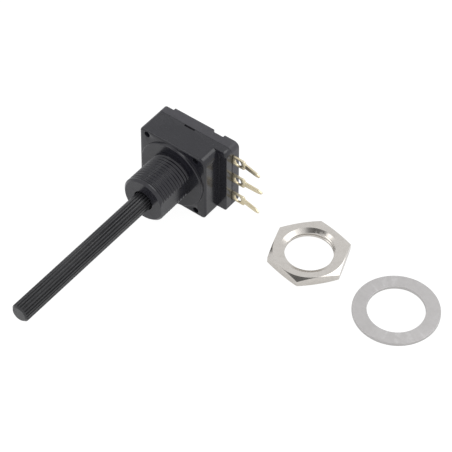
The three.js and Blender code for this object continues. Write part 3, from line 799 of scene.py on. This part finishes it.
def rearCover():
    shell = outlinePrism(flangeCorners(), seamY, coverHigh.y, "cover")
    lowY = coverHigh.y - cover["padDepth"]
    padLeft = bodyLeft + cover["padInset"]
    notchRight = flangeX - cover["notchInset"]
    notchLeft = notchRight - cover["notchWidth"]
    for x0, x1 in ((bodyLeft - pastFace, padLeft), (notchLeft, notchRight)):
        step = boxTool(x0, x1, lowY, coverHigh.y + pastFace, -pastFace, bodyTop + pastFace)
        combine(shell, step, "DIFFERENCE")
    plateLow, plateHigh = boxOf("contact_plate")
    gap, edge = cover["roomGap"], cover["roomEdge"]
    x0, x1, z0, z1 = plateLow.x - gap, plateHigh.x + gap, plateLow.z - gap, plateHigh.z + gap
    corners = [(x0, z0, edge), (x1, z0, edge), (x1, z1, edge), (x0, z1, edge)]
    frontOut, sideOut = seamY - pastFace, flangeX + pastFace
    combine(shell, outlinePrism(corners, frontOut, plateHigh.y + gap, "plateRoom"), "DIFFERENCE")
    for name in terminalNames:
        low, high = boxOf(name)
        z = (low.z + high.z) / 2
        half = cover["slitHeight"] / 2
        slit = boxTool(x1 - cover["slitReach"], sideOut, frontOut, seamY + cover["slitDepth"],
                       z - half, z + half)
        combine(shell, slit, "DIFFERENCE")
        half = cover["bayHeight"] / 2
        bay = boxTool(flangeX - cover["bayDepth"], sideOut, frontOut, high.y + cover["bayGap"],
                      z - half, z + half)
        combine(shell, bay, "DIFFERENCE")
    # The groove runs along the seam, from one outer terminal to the other.
    outer = (terminalNames[0], terminalNames[-1])
    ends = [boxOf(name)[0].z + cover["grooveRise"] for name in outer]
    groove = boxTool(flangeX - cover["grooveDepth"], sideOut, frontOut,
                     seamY + cover["grooveWidth"], min(ends), max(ends))
    combine(shell, groove, "DIFFERENCE")
    for low, high in pins:
        x, z = (low.x + high.x) / 2, (low.z + high.z) / 2
        hole = rodAt(x, z, cover["holeRadius"], frontOut, high.y + gap, cover["holeSteps"])
        combine(shell, hole, "DIFFERENCE")
    softenEdges(shell, cover["edge"])
    return finishPiece(shell, "rear_cover_shell", "coverPlastic", "case",
                       ["rear_cover"])


spline = {
    "radius": 1.95, "count": 20, "depth": 0.22, "samples": 12, "grooveShare": 0.45,
    "flank": 1.8, "hollow": 0.7, "turn": -0.063, "chamfer": 0.45, "leastChamfer": 0.02,
    "endDepth": 2.6, "overlap": 0.3, "sharp": 38.0,
}


def splineRadius(angle):
    # Rounded grooves between flat-topped ribs.
    phase = (angle / (2 * pi) * spline["count"]) % 1.0
    inGroove = max(0.0, 1.0 - abs(phase - 0.5) / (spline["grooveShare"] / 2))
    depth = spline["depth"] * min(1.0, inGroove * spline["flank"]) ** spline["hollow"]
    return spline["radius"] - depth


def shaftPiece():
    # The tip's disc is drawn out twice: to the end of the chamfer, and then into the bushing.
    total = spline["count"] * spline["samples"]
    tipRadius = spline["radius"] - spline["chamfer"]
    bm = bmesh.new()
    bmesh.ops.create_circle(bm, cap_ends=True, radius=tipRadius, segments=total)
    bmesh.ops.rotate(bm, verts=bm.verts, cent=(0, 0, 0), matrix=Matrix.Rotation(pi / 2, 3, "X"))
    bmesh.ops.translate(bm, verts=bm.verts, vec=(0.0, shaftTipY, axisZ))
    cap = next(iter(bm.faces))
    for stage in ("chamfer", "length"):
        rise = bmesh.ops.extrude_face_region(bm, geom=[cap])
        cap = next(g for g in rise["geom"] if isinstance(g, bmesh.types.BMFace))
        for vert in cap.verts:
            if stage == "length":
                vert.co.y = tipY + spline["endDepth"]
                continue
            angle = atan2(vert.co.z - axisZ, vert.co.x)
            radius = splineRadius(angle + spline["turn"])
            vert.co.x = radius * cos(angle)
            vert.co.z = axisZ + radius * sin(angle)
            vert.co.y = shaftTipY + max(spline["leastChamfer"], radius - tipRadius)
    shaft = looseObject(bm, "shaft")
    combine(shaft, shaftRear(), "UNION")
    return finishPiece(shaft, "shaft_splined", "shaftPlastic", "rotor", ["shaft"],
                       spline["sharp"])


def shaftRear():
    # The journal, collar, key and pivot keep the shape of the frame's own shaft.
    bm = bmesh.new()
    bm.from_mesh(frame["nodes"]["shaft"].data)
    bmesh.ops.remove_doubles(bm, verts=bm.verts, dist=meshGap / 2 / perMetre)
    bmesh.ops.scale(bm, vec=(perMetre,) * 3, verts=bm.verts)
    trimEnd(bm, (0.0, tipY + spline["endDepth"] - spline["overlap"], 0.0), (0.0, -1.0, 0.0))
    return looseObject(bm, "shaftRear")


terminalNames = ["terminal_a", "terminal_common", "terminal_b"]
blade = {
    "thickness": 0.4, "eyeHalf": 1.1, "eyeStart": 0.7, "eyeEnd": 3.0,
    "holeRadius": 0.78, "holeReach": 1.4, "holeSteps": 40,
    "shank": 0.525, "shoulder": 0.45, "tip": 0.16, "taper": 0.9,
    "eyeCorner": 0.4, "neckCorner": 0.18, "tipCorner": 0.08, "shoulderCorner": 0.3,
    "rootCorner": 0.1, "cornerSteps": 5, "edge": 0.045, "edgeAngle": 50.0, "bendStart": 3.25,
}
bends = {"terminal_a": 0.65, "terminal_common": 0.0, "terminal_b": 0.65}   # at the tip, forwards


def terminalBlade(name):
    low, high = boxOf(name)
    z = (low.z + high.z) / 2
    rearY = high.y
    frontFace = rearY - blade["thickness"]
    half, eye = blade["shank"], blade["eyeHalf"]
    rootX, endX, tipX = flangeX - blade["eyeStart"], flangeX + blade["eyeEnd"], high.x
    corner, neck = blade["eyeCorner"], blade["neckCorner"]
    # The upper half of the outline, from the tip to the foot: (x, height, corner radius).
    upper = [(tipX, blade["tip"], blade["tipCorner"])]
    upper += [(tipX - blade["taper"], blade["shoulder"], blade["shoulderCorner"])]
    upper += [(endX, half, neck), (endX, eye, corner), (rootX, eye, blade["rootCorner"])]
    upper += [(rootX, half, 0.0), (low.x, half, 0.0)]
    points = [(x, z + h, r) for x, h, r in upper]
    points += [(x, z - h, r) for x, h, r in reversed(upper)]
    obj = outlinePrism(points, frontFace, rearY, name, blade["cornerSteps"])
    hole = rodAt(flangeX + blade["holeReach"], z, blade["holeRadius"], frontFace - pastFace,
                 rearY + pastFace, blade["holeSteps"])
    combine(obj, hole, "DIFFERENCE")
    softenEdges(obj, blade["edge"], angle=blade["edgeAngle"])
    bendBlade(obj, bends[name], flangeX + blade["bendStart"], tipX)
    return finishPiece(obj, name + "_blade", "terminalGold", "case", [name])


def bendBlade(obj, bend, fromX, toX):
    for vert in obj.data.vertices:
        share = max(0.0, (vert.co.x - fromX) / (toX - fromX))
        vert.co.y -= bend * share


nut = {
    "acrossFlats": 14.4, "turn": -100.5, "bevel": 18.0, "faceInset": 0.1,
    "mouth": 1.0, "mouthSlope": 0.5, "mouthInner": 0.4, "mouthFlare": 2.0,
    "minorRadius": 4.8, "threadDepth": 0.34, "pitch": 0.75, "samples": 16, "steps": 96,
    "sharp": 14.0,
}
washer = {"radius": 8.45, "hole": 5.6, "edge": 0.09, "edgeSteps": 4, "steps": 128}


def turnedUp(profile, centre, name, steps=96):
    # profile: (radius, z) pairs, from the upright axis and back to it.
    bm = bmesh.new()
    drawLine(bm, [(centre.x + radius, centre.y, z) for radius, z in profile])
    bmesh.ops.spin(bm, geom=bm.verts[:] + bm.edges[:], cent=(centre.x, centre.y, 0.0),
                   axis=(0.0, 0.0, 1.0), angle=2 * pi, steps=steps, use_merge=True)
    return looseObject(bm, name)


def hexBlank():
    bm = bmesh.new()
    radius = nut["acrossFlats"] / 2 / cos(pi / 6)
    turn = Matrix.Rotation(radians(nut["turn"]), 3, "Z")
    bmesh.ops.create_cone(bm, cap_ends=True, segments=6, radius1=radius, radius2=radius,
                          depth=nutHigh.z)
    bmesh.ops.rotate(bm, verts=bm.verts, cent=(0, 0, 0), matrix=turn)
    bmesh.ops.translate(bm, verts=bm.verts, vec=(nutCentre.x, nutCentre.y, nutHigh.z / 2))
    return looseObject(bm, "hexBlank")


def nutThreadTool():
    # The helical cutter that leaves the nut's thread.
    top, pitch, samples, steps = nutHigh.z, nut["pitch"], nut["samples"], nut["steps"]
    spare = 2.5                                  # pitches past each end, which are cut off
    count = int(top / pitch) + int(2 * spare)
    points = []
    for i in range(count * samples + 1):
        radius = nut["minorRadius"] + nut["threadDepth"] * waveAt(i, samples) ** 2
        points.append((nutCentre.x + radius, nutCentre.y, -spare * pitch + i * pitch / samples))
    bm = bmesh.new()
    drawLine(bm, points)
    bmesh.ops.spin(bm, geom=bm.verts[:] + bm.edges[:], cent=(nutCentre.x, nutCentre.y, 0.0),
                   axis=(0.0, 0.0, 1.0), dvec=(0.0, 0.0, pitch / steps), angle=2 * pi, steps=steps)
    bmesh.ops.remove_doubles(bm, verts=bm.verts, dist=meshGap)
    for z, outward in ((-sunk, -1.0), (top + sunk, 1.0)):
        trimEnd(bm, (0.0, 0.0, z), (0.0, 0.0, outward))
    return looseObject(bm, "nutThread")


def mountingNut():
    top = nutHigh.z
    corner = nut["acrossFlats"] / 2 / cos(pi / 6) + sunk       # a little past the hexagon's corners
    face = nut["acrossFlats"] / 2 - nut["faceInset"]
    drop = (corner - face) * sin(radians(nut["bevel"])) / cos(radians(nut["bevel"]))
    dome = [(0.0, 0.0), (face, 0.0), (corner, drop), (corner, top - drop), (face, top), (0.0, top)]
    obj = hexBlank()
    combine(obj, turnedUp(dome, nutCentre, "domeTool"), "INTERSECT")
    combine(obj, nutThreadTool(), "DIFFERENCE")
    inner, wide = nut["minorRadius"] - nut["mouthInner"], nut["minorRadius"] + nut["mouth"]
    deep = (wide - nut["minorRadius"]) * nut["mouthSlope"] + lap
    for z, inward in ((0.0, 1.0), (top, -1.0)):
        outZ, deepZ = z - inward, z + inward * deep
        cone = [(0.0, outZ), (wide + nut["mouthFlare"], outZ), (wide, z)]
        cone += [(inner, deepZ), (0.0, deepZ)]
        combine(obj, turnedUp(cone, nutCentre, "mouthTool"), "DIFFERENCE")
    return finishPiece(obj, "nut_hex", "nutNickel", "case", ["mounting_nut"],
                       nut["sharp"])


def flatWasher():
    top, edge = washerHigh.z, washer["edge"]
    inner, outer = washer["hole"], washer["radius"]
    bm = bmesh.new()
    ring = [(inner, 0.0), (outer, 0.0), (outer, top), (inner, top)]
    line = [bm.verts.new((washerCentre.x + radius, washerCentre.y, z)) for radius, z in ring]
    bm.faces.new(line)
    bmesh.ops.bevel(bm, geom=line, offset=edge, offset_type="OFFSET", segments=washer["edgeSteps"],
                    profile=0.5, affect="VERTICES", material=-1)
    bmesh.ops.delete(bm, geom=bm.faces[:], context="FACES_ONLY")
    bmesh.ops.spin(bm, geom=bm.verts[:] + bm.edges[:], cent=(washerCentre.x, washerCentre.y, 0.0),
                   axis=(0.0, 0.0, 1.0), angle=2 * pi, steps=washer["steps"], use_merge=True)
    obj = looseObject(bm, "washer")
    return finishPiece(obj, "washer_flat", "washerSteel", "case",
                       ["mounting_washer"])


# These keep their shapes from the frame, and get a finish.
innerFinishes = {
    "assembly_pin_1": "housingPlastic", "assembly_pin_2": "housingPlastic",
    "assembly_pin_3": "housingPlastic", "assembly_pin_4": "housingPlastic",
    "shaft_seal": "sealRubber", "thrust_washer": "springSteel",
    "detent_wheel": "innerPlastic", "detent_ball": "springSteel", "detent_spring": "springSteel",
    "contact_carrier": "innerPlastic", "contact_wiper": "contactBronze",
    "contact_plate": "phenolicBoard",
    "track_common": "contactBronze", "track_a": "contactBronze", "track_b": "contactBronze",
}


def finishInnerPieces():
    for name, finish in innerFinishes.items():
        node = frame["nodes"][name]
        for place in node.material_slots:
            place.material = materials[finish]


# It glows white to the camera, less so in reflections, and takes a shadow.
floor = {
    "size": 1.6, "drop": 0.00002, "colour": (0.90, 0.90, 0.90), "shade": (0.82, 0.82, 0.82),
    "grainScale": 1500.0, "flowScale": 20.0, "rough": 0.7, "gloss": 0.2,
    "glow": 1.12, "whiteShare": 0.85, "mirrorShare": 0.46,
}


def addFloor():
    material, tree, shader = newMaterial("paleFloor")
    grain = placeGroup(tree, "grain", grainValues(floor))
    colour = mixColour(tree, grain.outputs["Flow"], floor["colour"], floor["shade"])
    tree.links.new(colour, shader.inputs["Base Color"])
    shader.inputs["Roughness"].default_value = floor["rough"]
    shader.inputs["Specular IOR Level"].default_value = floor["gloss"]
    glow = tree.nodes.new("ShaderNodeEmission")
    glow.inputs["Strength"].default_value = floor["glow"]
    rays = tree.nodes.new("ShaderNodeLightPath")
    seen = mathNode(tree, "MULTIPLY", rays.outputs["Is Camera Ray"], floor["whiteShare"])
    mirrored = mathNode(tree, "MULTIPLY", rays.outputs["Is Glossy Ray"], floor["mirrorShare"])
    share = mathNode(tree, "MAXIMUM", seen, mirrored)
    mix = tree.nodes.new("ShaderNodeMixShader")
    tree.links.new(share, mix.inputs[0])
    tree.links.new(shader.outputs[0], mix.inputs[1])
    tree.links.new(glow.outputs[0], mix.inputs[2])
    tree.links.new(mix.outputs[0], tree.nodes["Material Output"].inputs["Surface"])
    bm = bmesh.new()
    bmesh.ops.create_grid(bm, x_segments=2, y_segments=2, size=floor["size"] / 2)
    mesh = bpy.data.meshes.new("floor")
    bm.to_mesh(mesh)
    bm.free()
    ground = bpy.data.objects.new("floor", mesh)
    ground.location = (0.0, 0.0, -floor["drop"])
    mesh.materials.append(material)
    bpy.context.scene.collection.objects.link(ground)


housingBlock()
bushingSleeve()
rearCover()
shaftPiece()
for terminalName in terminalNames:
    terminalBlade(terminalName)
mountingNut()
flatWasher()
finishInnerPieces()
addFloor()
print("all pieces in place")
